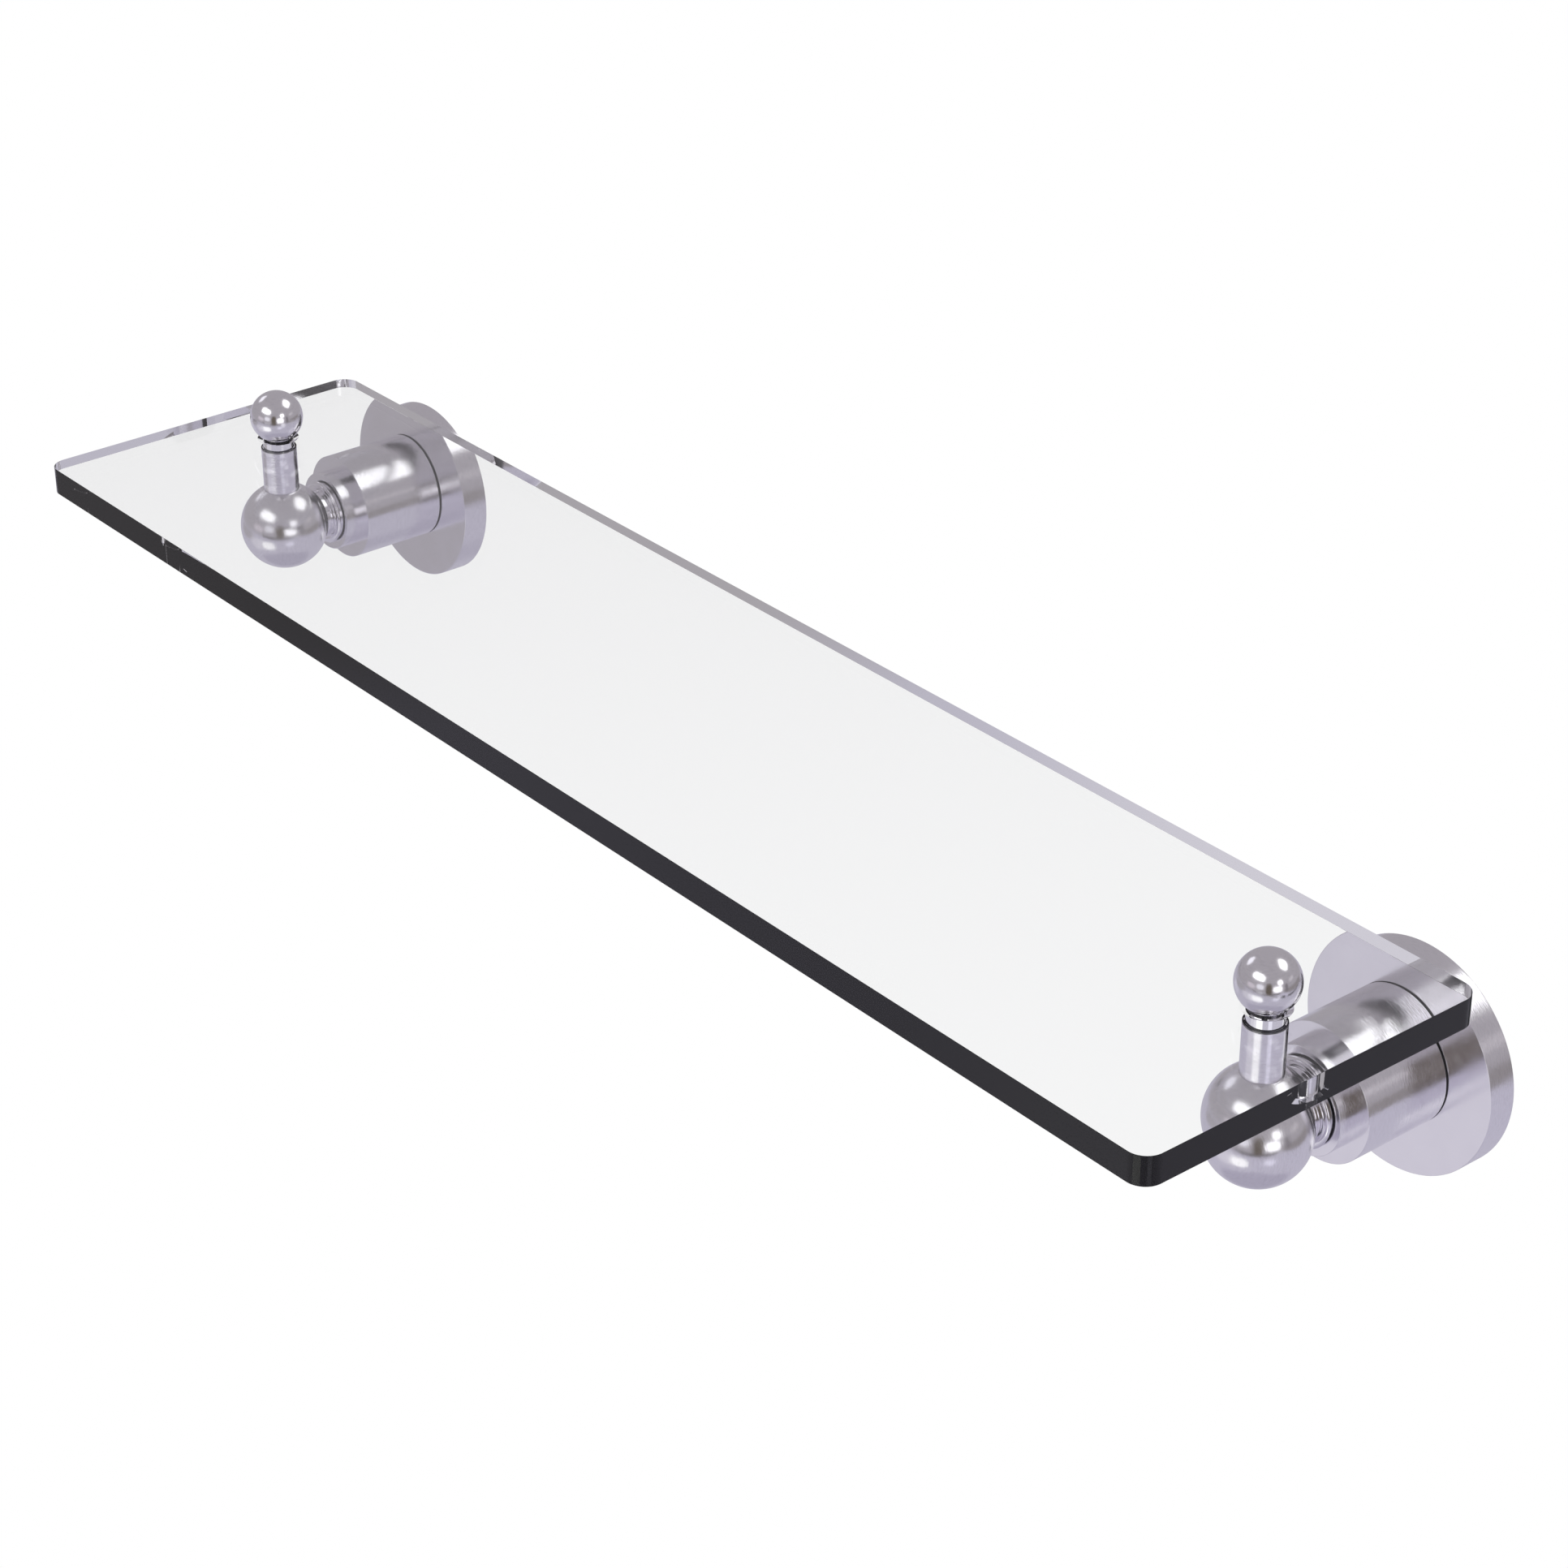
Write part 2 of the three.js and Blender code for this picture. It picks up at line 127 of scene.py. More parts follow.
class Nodes:
    """Builds a node tree from plain calls. Values may be sockets, numbers or vectors."""

    def __init__(self, tree):
        self.tree = tree
        tree.nodes.clear()

    def node(self, kind, **settings):
        made = self.tree.nodes.new(kind)
        for key, value in settings.items():
            setattr(made, key, value)
        return made

    def put(self, value, socket):
        if isinstance(value, bpy.types.NodeSocket):
            self.tree.links.new(value, socket)
        else:
            socket.default_value = value

    def math(self, operation, a, b=0.0):
        made = self.node("ShaderNodeMath", operation=operation)
        for value, socket in zip((a, b), made.inputs):
            self.put(value, socket)
        return made.outputs[0]

    def vector(self, operation, a, b=(0.0, 0.0, 0.0)):
        made = self.node("ShaderNodeVectorMath", operation=operation)
        self.put(a, made.inputs[0])
        self.put(b, made.inputs[1])
        return made.outputs["Value" if operation in ("DOT_PRODUCT", "LENGTH") else "Vector"]

    def ramp(self, value, low, high, out_low=0.0, out_high=1.0, smooth=False):
        """value from low..high to out_low..out_high, held at the ends."""
        kind = "SMOOTHSTEP" if smooth else "LINEAR"
        made = self.node("ShaderNodeMapRange", interpolation_type=kind)
        for number, socket in zip((value, low, high, out_low, out_high), made.inputs):
            self.put(number, socket)
        return made.outputs["Result"]

    def mix(self, factor, a, b):
        made = self.node("ShaderNodeMix", data_type="RGBA")
        self.put(factor, made.inputs["Factor"])
        colour_a, colour_b = [socket for socket in made.inputs if socket.type == "RGBA"]
        self.put(a, colour_a)
        self.put(b, colour_b)
        return next(socket for socket in made.outputs if socket.type == "RGBA")

    def noise(self, vector, scale=1.0, detail=2.0):
        made = self.node("ShaderNodeTexNoise", noise_dimensions="3D")
        self.put(vector, made.inputs["Vector"])
        made.inputs["Scale"].default_value = scale
        made.inputs["Detail"].default_value = detail
        return made.outputs["Fac"]


def rgba(colour):
    return (*colour, 1.0)


# ---- studio

# Soft lights and dark panels all round, as (compass angle, elevation, half width, half height,
# colour, strength), in degrees: 0 is +Y, 90 is +X. Later rows lie over earlier ones.
STUDIO = [
    (0, -90, 30, 30, (0.41, 0.39, 0.48), 1.0),      # under the shelf
    (-10, -30, 15, 6, (0.12, 0.12, 0.13), 1.0),     # dark gap behind the shelf
    (50, -9, 36, 7, (0.27, 0.25, 0.255), 1.0),      # dull stretch of horizon, right
    (-124, -20, 22, 7, (0.385, 0.365, 0.39), 1.0),  # dull stretch of horizon, left
    (140, -15, 44, 3.4, (0.13, 0.12, 0.12), 1.0),   # dark line along the horizon
    (134, 3, 10, 19, (0.12, 0.10, 0.08), 1.0),      # brown panel
    (76, 2, 5, 11, (0.20, 0.185, 0.20), 1.0),       # grey panel
    (27, 51, 18, 13, (1.0, 1.0, 1.0), 1.6),         # top light
    (178, 37, 22, 11, (1.0, 1.0, 1.0), 1.7),        # high front light
    (-96, 31, 11, 9, (0.95, 0.94, 1.0), 1.1),       # high side light
    (95, 22, 9, 8, (1.0, 0.99, 1.0), 1.6),          # upper right window
    (106, 2.5, 15, 10, (0.99, 0.98, 1.0), 1.4),     # lower right window
    (163, 8, 12, 8, (0.86, 0.85, 0.91), 1.0),       # front window
    (-166, 2, 14, 6, (0.63, 0.58, 0.63), 1.0),      # pink glow
    (51, 15, 11, 4, (0.56, 0.53, 0.56), 1.0),       # dim strip
    (200, -34, 22, 12, (0.66, 0.64, 0.71), 1.0),    # low front glow
    (171, -36, 15, 10, (1.0, 1.0, 1.0), 1.1),       # low front light
    (110, -31, 9, 6, (0.84, 0.82, 0.95), 1.0),      # low side glow
]
WHITE_BACKGROUND = (1.0, 1.0, 1.0)
UPPER_HAZE = (0.385, 0.365, 0.39)
LOWER_HAZE = (0.515, 0.495, 0.585)


def direction(compass, elevation):
    a, e = math.radians(compass), math.radians(elevation)
    return Vector((math.sin(a) * math.cos(e), math.cos(a) * math.cos(e), math.sin(e)))


def soft_box_mask(nodes, ray, compass, elevation, half_width, half_height):
    """1 inside a rounded box in the sky, falling softly to 0 round it."""
    centre = direction(compass, elevation)
    across = direction(compass + 90, 0)
    up = across.cross(centre) * -1
    ahead = nodes.vector("DOT_PRODUCT", ray, centre)
    safe = nodes.math("MAXIMUM", ahead, 0.05)
    squares = []
    for axis, half in ((across, half_width), (up, half_height)):
        offset = nodes.math("DIVIDE", nodes.vector("DOT_PRODUCT", ray, axis), safe)
        share = nodes.math("DIVIDE", nodes.math("ABSOLUTE", offset), math.tan(math.radians(half)))
        squares.append(nodes.math("POWER", share, 3.0))
    reach = nodes.math("ADD", *squares)
    inside = nodes.ramp(reach, 1.5, 0.6, smooth=True)
    return nodes.math("MULTIPLY", inside, nodes.ramp(ahead, 0.05, 0.15))


def straight_view(nodes):
    """1 where a ray comes from the camera, directly or straight through glass, and 0 otherwise."""
    path = nodes.node("ShaderNodeLightPath")
    seen = nodes.math("MAXIMUM", path.outputs["Is Camera Ray"], path.outputs["Is Transmission Ray"])
    unreflected = nodes.math("LESS_THAN", path.outputs["Glossy Depth"], 0.5)
    direct = nodes.math("LESS_THAN", path.outputs["Diffuse Depth"], 0.5)
    return nodes.math("MULTIPLY", seen, nodes.math("MULTIPLY", unreflected, direct))


def studio_colour(nodes, ray):
    """The haze of a pale room with its soft lights and dark panels."""
    split = nodes.node("ShaderNodeSeparateXYZ")
    nodes.put(ray, split.inputs[0])
    height = nodes.ramp(split.outputs["Z"], -0.26, -0.12, smooth=True)
    colour = nodes.mix(height, rgba(LOWER_HAZE), rgba(UPPER_HAZE))
    for compass, elevation, half_width, half_height, tint, strength in STUDIO:
        mask = soft_box_mask(nodes, ray, compass, elevation, half_width, half_height)
        colour = nodes.mix(mask, colour, rgba([c * strength for c in tint]))
    return colour


def light_studio():
    world = bpy.data.worlds.new("studio")
    world.use_nodes = True
    nodes = Nodes(world.node_tree)
    ray = nodes.node("ShaderNodeTexCoord").outputs["Generated"]
    colour = nodes.mix(straight_view(nodes), studio_colour(nodes, ray), rgba(WHITE_BACKGROUND))
    background = nodes.node("ShaderNodeBackground")
    nodes.put(colour, background.inputs["Color"])
    output = nodes.node("ShaderNodeOutputWorld")
    nodes.put(background.outputs[0], output.inputs["Surface"])
    bpy.context.scene.world = world
    bpy.context.scene.view_settings.view_transform = "Standard"


aim_camera()
light_studio()


# ---- materials

# Brush marks on turned metal, in millimetres
MARK_WIDTH = 0.35
MARK_LENGTH = 1.8
SPECKLE_SIZE = 0.25
SPECKLE_SHARE = 0.12                 # of the height of the brush marks
PAINTED_BOUNCE_SHADE = (0.02, 0.02, 0.022)    # painted shade: near-black colour once light has bounced twice between pieces, darkening coves and creases


def new_material(name):
    material = bpy.data.materials.new(name)
    material.use_nodes = True
    nodes = Nodes(material.node_tree)
    shader = nodes.node("ShaderNodeBsdfPrincipled")
    output = nodes.node("ShaderNodeOutputMaterial")
    nodes.put(shader.outputs[0], output.inputs["Surface"])
    return material, nodes, shader


def turned_metal(name, base, roughness, mark_height, anisotropy):
    """Satin metal with short brush marks round the turning axis and small cloudy changes of gloss.

    Faces square to the axis keep only the clouds and a faint speckle."""
    material, nodes, shader = new_material(name)
    coordinates = nodes.node("ShaderNodeTexCoord")
    point = coordinates.outputs["Object"]
    normal = nodes.node("ShaderNodeSeparateXYZ")
    nodes.put(coordinates.outputs["Normal"], normal.inputs[0])
    on_side = nodes.ramp(nodes.math("ABSOLUTE", normal.outputs["Z"]), 0.995, 0.9)
    across, along = 1 / (MARK_WIDTH * MM), 1 / (MARK_LENGTH * MM)
    marks = nodes.noise(nodes.vector("MULTIPLY", point, (along, along, across)), detail=3)
    cloud = nodes.noise(point, scale=160, detail=3)
    speckle = nodes.noise(point, scale=1 / (SPECKLE_SIZE * MM), detail=2)
    nodes.put(nodes.ramp(cloud, 0.3, 0.7, roughness * 0.8, roughness * 1.2), shader.inputs["Roughness"])
    worn = nodes.math("MULTIPLY", nodes.ramp(marks, 0.55, 0.35), on_side)
    colour = nodes.mix(worn, rgba(base), rgba([c * 0.95 for c in base]))
    # painted shade: past two glossy bounces the metal's colour turns near black, darkening coves and
    # creases between pieces
    painted_shade = nodes.math("GREATER_THAN", nodes.node("ShaderNodeLightPath").outputs["Glossy Depth"], 1.5)
    nodes.put(nodes.mix(painted_shade, colour, rgba(PAINTED_BOUNCE_SHADE)), shader.inputs["Base Color"])
    faint_speckle = nodes.math("MULTIPLY", speckle, SPECKLE_SHARE)
    relief = nodes.math("ADD", nodes.math("MULTIPLY", marks, on_side), faint_speckle)
    bump = nodes.node("ShaderNodeBump")
    bump.inputs["Distance"].default_value = mark_height * MM
    nodes.put(relief, bump.inputs["Height"])
    nodes.put(bump.outputs[0], shader.inputs["Normal"])
    tangent = nodes.node("ShaderNodeTangent", direction_type="RADIAL", axis="Z")
    nodes.put(tangent.outputs[0], shader.inputs["Tangent"])
    shader.inputs["Metallic"].default_value = 1.0
    shader.inputs["Anisotropic"].default_value = anisotropy
    return material


def zinc_steel():
    """Zinc-plated hardware: mottled, a little yellow in places."""
    material, nodes, shader = new_material("zinc_plated_steel")
    point = nodes.node("ShaderNodeTexCoord").outputs["Object"]
    mottle = nodes.noise(point, scale=420, detail=4)
    bluish, yellowish = rgba((0.50, 0.51, 0.54)), rgba((0.62, 0.61, 0.56))
    colour = nodes.mix(nodes.ramp(mottle, 0.35, 0.65), bluish, yellowish)
    nodes.put(colour, shader.inputs["Base Color"])
    nodes.put(nodes.ramp(mottle, 0.3, 0.7, 0.28, 0.46), shader.inputs["Roughness"])
    bump = nodes.node("ShaderNodeBump")
    bump.inputs["Distance"].default_value = 0.01 * MM
    nodes.put(nodes.noise(point, scale=2600, detail=2), bump.inputs["Height"])
    nodes.put(bump.outputs[0], shader.inputs["Normal"])
    shader.inputs["Metallic"].default_value = 1.0
    return material


def moulded(name, base, roughness, grain_scale, grain_height):
    """Moulded rubber or plastic with a fine matt grain."""
    material, nodes, shader = new_material(name)
    point = nodes.node("ShaderNodeTexCoord").outputs["Object"]
    grain = nodes.noise(point, scale=grain_scale, detail=3)
    shade = rgba([c * 0.82 for c in base])
    nodes.put(nodes.mix(nodes.ramp(grain, 0.35, 0.65), shade, rgba(base)), shader.inputs["Base Color"])
    matt = nodes.ramp(grain, 0.3, 0.7, roughness * 0.85, roughness * 1.15)
    nodes.put(matt, shader.inputs["Roughness"])
    bump = nodes.node("ShaderNodeBump")
    bump.inputs["Distance"].default_value = grain_height * MM
    nodes.put(grain, bump.inputs["Height"])
    nodes.put(bump.outputs[0], shader.inputs["Normal"])
    return material


def clear(name, base, index, ripple_scale, ripple_height):
    """Clear glass or plastic with the faintest ripple."""
    material, nodes, shader = new_material(name)
    point = nodes.node("ShaderNodeTexCoord").outputs["Object"]
    ripple = nodes.noise(point, scale=ripple_scale, detail=1)
    bump = nodes.node("ShaderNodeBump")
    bump.inputs["Distance"].default_value = ripple_height * MM
    nodes.put(ripple, bump.inputs["Height"])
    nodes.put(bump.outputs[0], shader.inputs["Normal"])
    shader.inputs["Base Color"].default_value = rgba(base)
    shader.inputs["Roughness"].default_value = 0.0
    shader.inputs["IOR"].default_value = index
    shader.inputs["Transmission Weight"].default_value = 1.0
    return material


SATIN = turned_metal("satin_turned_metal", (0.90, 0.885, 0.925), 0.17, 0.034, 0.3)
SMOOTH = turned_metal("smooth_turned_metal", (0.90, 0.885, 0.92), 0.16, 0.008, 0.0)
NECK_METAL = turned_metal("neck_turned_metal", (0.90, 0.885, 0.925), 0.13, 0.001, 0.0)
BALL_METAL = turned_metal("ball_turned_metal", (0.90, 0.885, 0.92), 0.20, 0.017, 0.0)
ZINC = zinc_steel()
RUBBER = moulded("black_rubber", (0.012, 0.012, 0.013), 0.62, 3000, 0.01)
CLEAR_PLASTIC = clear("clear_plastic", (0.98, 0.985, 0.99), 1.46, 900, 0.002)
GLASS = clear("clear_glass", (0.985, 0.99, 0.99), 1.45, 30, 0.0005)


# ---- outlines, as lists of (radius, height) in millimetres

def arc(centre, radius, from_angle, to_angle, steps):
    """Points of a circular arc about (0, centre), the way a turned ball's outline runs."""
    angles = (from_angle + (to_angle - from_angle) * i / steps for i in range(steps + 1))
    return [(max(0.0, radius * math.cos(a)), centre + radius * math.sin(a)) for a in angles]


def rounded(corners, loop=False, steps=4):
    """An outline with its corners rounded. A corner is (radius, height) or (radius, height, fillet).

    Each fillet has a support point on either side, so that flat stretches stay flat when shaded."""
    made = []
    count = len(corners)
    for i, corner in enumerate(corners):
        here = Vector(corner[:2])
        fillet = corner[2] if len(corner) > 2 else 0.0
        if not fillet or (not loop and i in (0, count - 1)):
            made.append(tuple(here))
            continue
        before = Vector(corners[i - 1][:2]) - here
        after = Vector(corners[(i + 1) % count][:2]) - here
        half = before.angle(after) / 2
        cut = fillet / math.tan(half)
        start, end = here + before.normalized() * cut, here + after.normalized() * cut
        centre = here + (before.normalized() + after.normalized()).normalized() * fillet / math.sin(half)
        if before.length > cut + 3 * GUARD:
            made.append(tuple(start + before.normalized() * GUARD))
        for step in range(steps + 1):
            blend = start.lerp(end, step / steps) - centre
            made.append(tuple(centre + blend.normalized() * fillet))
        if after.length > cut + 3 * GUARD:
            made.append(tuple(end + after.normalized() * GUARD))
    return made


# ---- mesh helpers

def add_object(name, mesh, matrix, material, body, replaced):
    mesh.materials.append(material)
    piece = bpy.data.objects.new(name, mesh)
    bpy.context.scene.collection.objects.link(piece)
    piece.matrix_world = matrix
    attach(piece, body)
    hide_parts(replaced)
    return piece


def revolve(outline, segments, loop=False, shape=None):
    """A closed mesh of revolution about Z. shape(radius, height, angle) may alter a radius."""
    points, faces, rings = [], [], []
    for radius, height in outline:
        if radius < 1e-6:
            rings.append([len(points)])
            points.append((0.0, 0.0, height * MM))
            continue
        rings.append(list(range(len(points), len(points) + segments)))
        for k in range(segments):
            angle = 2 * math.pi * k / segments
            r = (shape(radius, height, angle) if shape else radius) * MM
            points.append((r * math.cos(angle), r * math.sin(angle), height * MM))
    pairs = list(zip(rings, rings[1:])) + ([(rings[-1], rings[0])] if loop else [])
    for low, high in pairs:
        for k in range(segments):
            nxt = (k + 1) % segments
            below = [low[k % len(low)], low[nxt % len(low)]]
            above = [high[nxt % len(high)], high[k % len(high)]]
            unique = list(dict.fromkeys(below + above))
            if len(unique) > 2:
                faces.append(unique)
    mesh = bpy.data.meshes.new("turned")
    mesh.from_pydata(points, [], faces)
    return finished(mesh)


def finished(mesh):
    """Outward faces, smooth shading, and sharp edges where the surface turns a corner."""
    work = bmesh.new()
    work.from_mesh(mesh)
    bmesh.ops.remove_doubles(work, verts=work.verts, dist=1e-7)
    bmesh.ops.recalc_face_normals(work, faces=work.faces)
    work.to_mesh(mesh)
    work.free()
    mesh.shade_smooth()
    mesh.set_sharp_from_angle(angle=math.radians(SHARP_DEGREES))
    return mesh


def carve(mesh, cutters):
    """The mesh with each cutter taken out of it. A cutter is (mesh, matrix)."""
    body = bpy.data.objects.new("body", mesh)
    bpy.context.scene.collection.objects.link(body)
    tools = []
    for cutter, matrix in cutters:
        tool = bpy.data.objects.new("tool", cutter)
        bpy.context.scene.collection.objects.link(tool)
        tool.matrix_world = matrix
        tools.append(tool)
        step = body.modifiers.new("cut", "BOOLEAN")
        step.operation = "DIFFERENCE"
        step.object = tool
        step.solver = "EXACT"
    bpy.context.view_layer.update()
    evaluated = body.evaluated_get(bpy.context.evaluated_depsgraph_get())
    carved = bpy.data.meshes.new_from_object(evaluated)
    for thing in [body, *tools]:
        bpy.data.objects.remove(thing)
    return finished(carved)


def block(low, high):
    """A box-shaped cutter between two corners in millimetres."""
    mesh = bpy.data.meshes.new("block")
    work = bmesh.new()
    bmesh.ops.create_cube(work, size=1.0)
    for vertex in work.verts:
        for axis in range(3):
            share = vertex.co[axis] + 0.5
            vertex.co[axis] = (low[axis] + (high[axis] - low[axis]) * share) * MM
    work.to_mesh(mesh)
    work.free()
    return mesh


# ---- where things are

ARM_TURN = Matrix.Rotation(-math.pi / 2, 4, "X")    # takes local Z to +Y


def middle(node):
    low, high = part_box(node)
    return (low + high) / 2


def span(node, axis):
    """A node's lowest and highest coordinate on one axis, in millimetres."""
    low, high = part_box(node)
    return low[axis] / MM, high[axis] / MM


def radius_of(node, axis=0):
    low, high = span(node, axis)
    return (high - low) / 2


def on_arm(side, z=0.0):
    """Local frame of a piece turned about the arm's line, whose heights are world Y."""
    return Matrix.Translation((middle(f"{side}_barrel").x, 0, z * MM)) @ ARM_TURN


def on_post(side):
    """Local frame of a piece turned about the upright line through the ball. Its heights are world Z."""
    centre = middle(f"{side}_post")
    return Matrix.Translation((centre.x, centre.y, 0))


def arm_piece(side, part, mesh, material, z=0.0):
    name = f"{side}_{part}"
    return add_object(f"{name}_visual", mesh, on_arm(side, z), material, FIXED_BODY, name)


def post_piece(side, part, mesh, material, body=FIXED_BODY):
    name = f"{side}_{part}"
    return add_object(f"{name}_visual", mesh, on_post(side), material, body, name)


# ---- arm

def make_flange(side):
    node = f"{side}_flange"
    radius = radius_of(node)
    front, back = span(node, 1)
    mesh = revolve(rounded([
        (ROD_BORE_RADIUS, front),
        (radius, front, EDGE_FILLET),
        (radius, back, 0.15),
        (RECESS_RADIUS, back, 0.15),
        (RECESS_RADIUS, back - RECESS_DEPTH, 0.4),
        (ROD_BORE_RADIUS, back - RECESS_DEPTH),
    ], loop=True), FINE, loop=True)
    grub = f"{side}_flange_grub_screw"
    hole_radius = radius_of(grub) + GRUB_HOLE_CLEARANCE
    hole = revolve([(0, 0), (hole_radius, 0), (hole_radius, 12), (0, 12)], SMALL)
    place = Matrix.Translation((0, (radius + 2) * MM, middle(grub).y))
    mesh = carve(mesh, [(hole, place @ Matrix.Rotation(math.pi / 2, 4, "X"))])
    arm_piece(side, "flange", mesh, SATIN)


def make_barrel(side):
    node = f"{side}_barrel"
    front, back = span(node, 1)
    radius = radius_of(node)
    mesh = revolve(rounded([
        (ROD_BORE_RADIUS, front),
        (radius, front, EDGE_FILLET),
        (radius, back, 0.1),
        (ROD_BORE_RADIUS, back),
    ], loop=True), FINE, loop=True)
    arm_piece(side, "barrel", mesh, SATIN)


def make_gasket(side):
    node = f"{side}_barrel_gasket"
    front, back = span(node, 1)
    radius = radius_of(node)
    mesh = revolve(rounded([
        (radius / 2, front),
        (radius - GASKET_INSET, front, 0.08),
        (radius - GASKET_INSET, back, 0.08),
        (radius / 2, back),
    ], loop=True), FINE, loop=True)
    arm_piece(side, "barrel_gasket", mesh, RUBBER)


def make_collar(side):
    node = f"{side}_collar"
    front, back = span(node, 1)
    radius = radius_of(node)
    mesh = revolve(rounded([
        (ROD_BORE_RADIUS, front),
        (radius, front, EDGE_FILLET),
        (radius, back),
        (ROD_BORE_RADIUS, back),
    ], loop=True), FINE, loop=True)
    arm_piece(side, "collar", mesh, SATIN)


def make_beaded_neck(side):
    """From the ball: a plain neck, a small square fillet, a round bead and a land against the collar."""
    seat, collar_front = span(f"{side}_beaded_neck", 1)
    fillet_front = BEAD_Y - BEAD_HALF_WIDTH - FILLET_WIDTH
    steps = 16
    bead = []
    for i in range(steps + 1):
        angle = math.radians(BEAD_END_DEGREES) * i / steps
        bead.append((
            BEAD_BASE_RADIUS + (BEAD_RADIUS - BEAD_BASE_RADIUS) * math.sin(angle),
            BEAD_Y - BEAD_HALF_WIDTH * math.cos(angle),
        ))
    outline = rounded([
        (ROD_BORE_RADIUS, seat),
        (NECK_RADIUS, seat),
        (NECK_RADIUS, fillet_front, 0.25),
        (BEAD_BASE_RADIUS, fillet_front, 0.1),
        bead[0],
    ], steps=4)[:-1] + bead + [
        (bead[-1][0], collar_front),
        (ROD_BORE_RADIUS, collar_front),
    ]
    arm_piece(side, "beaded_neck", revolve(outline, FINE, loop=True), NECK_METAL)


def make_ball(side):
    node = f"{side}_ball"
    centre, radius = middle(f"{side}_post").y / MM, radius_of(node)
    neck_angle = math.acos(NECK_RADIUS / radius)
    neck_seat = centre + radius * math.sin(neck_angle)
    rod_end = span(f"{side}_tie_rod", 1)[0] - BORE_CLEARANCE
    mesh = revolve([
        *arc(centre, radius, -math.pi / 2, neck_angle, 72),
        (ROD_BORE_RADIUS, neck_seat), (ROD_BORE_RADIUS, rod_end), (0, rod_end),
    ], MEDIUM)
    top, tenon_bottom = span(node, 2)[1], span(f"{side}_post", 2)[0]
    upright = Matrix.Rotation(math.pi / 2, 4, "X")    # world Z is local -Y
    seat = block((-radius, centre - radius, top), (radius, centre + radius, radius + 1))
    bore_radius, bore_end = TENON_RADIUS + TENON_CLEARANCE, tenon_bottom - BORE_CLEARANCE
    bore = revolve([(0, bore_end), (bore_radius, bore_end), (bore_radius, top + 1), (0, top + 1)], SMALL)
    stand = Matrix.Translation((0, 0, centre * MM))
    mesh = carve(mesh, [(seat, upright), (bore, stand @ upright)])
    arm_piece(side, "ball", mesh, BALL_METAL)


# ---- post and glass clamp

def make_post(side):
    node = f"{side}_post"
    bottom, top = span(node, 2)
    radius = radius_of(node)
    seat = span(f"{side}_ball", 2)[1]
    bore_bottom = span(f"{side}_finial_stud", 2)[0] - STUD_BORE_DEPTH
    mesh = revolve(rounded([
        (0, bottom),
        (TENON_RADIUS, bottom, 0.4),
        (TENON_RADIUS, seat),
        (radius, seat),
        (radius, top, EDGE_FILLET),
        (STUD_BORE_RADIUS, top, 0.2),
        (STUD_BORE_RADIUS, bore_bottom),
        (0, bore_bottom),
    ]), MEDIUM)
    post_piece(side, "post", mesh, SATIN)


def make_glass_washer(side):
    node = f"{side}_glass_washer"
    bottom, top = span(node, 2)
    radius = radius_of(node)
    bore_radius = STUD_BORE_RADIUS + WASHER_BORE_CLEARANCE
    mesh = revolve(rounded([
        (bore_radius, bottom),
        (radius, bottom, 0.08),
        (radius, top, 0.08),
        (bore_radius, top),
    ], loop=True), MEDIUM, loop=True)
    post_piece(side, "glass_washer", mesh, CLEAR_PLASTIC)


def make_finial(side):
    node = f"{side}_finial"
    bottom, top = span(node, 2)
    radius = radius_of(node)
    centre = top - radius
    bore_top = span(f"{side}_finial_stud", 2)[1] + BORE_CLEARANCE
    shank_angle = -math.acos(SHANK_RADIUS / radius)
    shank = rounded([
        (0, bore_top),
        (STUD_BORE_RADIUS, bore_top),
        (STUD_BORE_RADIUS, bottom),
        (SHANK_RADIUS, bottom, EDGE_FILLET),
        (SHANK_RADIUS, centre + radius * math.sin(shank_angle)),
    ])
    mesh = revolve(shank + arc(centre, radius, shank_angle, math.pi / 2, 64)[1:], MEDIUM)
    post_piece(side, "finial", mesh, SMOOTH, body=f"{side}_finial_ball")


# ---- hardware

def thread(low, high, radius, pitch, stretches, chamfer=0.4):
    """Outline and shape of a rod with a helical thread on the given stretches of its length."""
    depth = THREAD_DEPTH_SHARE * pitch
    length = high - low - 2 * chamfer
    count = round(length / pitch * THREAD_RINGS_A_TURN)
    rod = [(radius, low + chamfer + length * i / count) for i in range(count + 1)]
    outline = [(0, low), (radius - chamfer, low), *rod, (radius - chamfer, high), (0, high)]

    def shape(r, height, angle):
        if r < radius or not any(start <= height <= end for start, end in stretches):
            return r
        turn = (height / pitch - angle / (2 * math.pi)) % 1
        return r - depth * min(1.0, max(0.0, 2.4 * abs(turn - 0.5) - 0.1))

    return outline, shape


def make_wall_plate(side):
    node = f"{side}_wall_plate"
    front, back = span(node, 1)
    mesh = revolve(rounded([
        (PLATE_HOLE_RADIUS, front, 0.2),
        (radius_of(node), front, 0.25),
        (PLATE_BACK_RADIUS, back, 0.2),
        (PLATE_HOLE_RADIUS, back, 0.2),
    ], loop=True), FINE, loop=True)
    countersink = [
        (0, front - 1), (PLATE_COUNTERSINK_RADIUS, front - 1), (PLATE_COUNTERSINK_RADIUS, front + 0.2),
        (PLATE_SCREW_HOLE_RADIUS, front + 2.2), (PLATE_SCREW_HOLE_RADIUS, back + 1), (0, back + 1),
    ]
    holes = [
        (revolve(countersink, SMALL), Matrix.Translation((0, offset * MM, 0)))
        for offset in (-PLATE_SCREW_OFFSET, PLATE_SCREW_OFFSET)
    ]
    arm_piece(side, "wall_plate", carve(mesh, holes), ZINC)


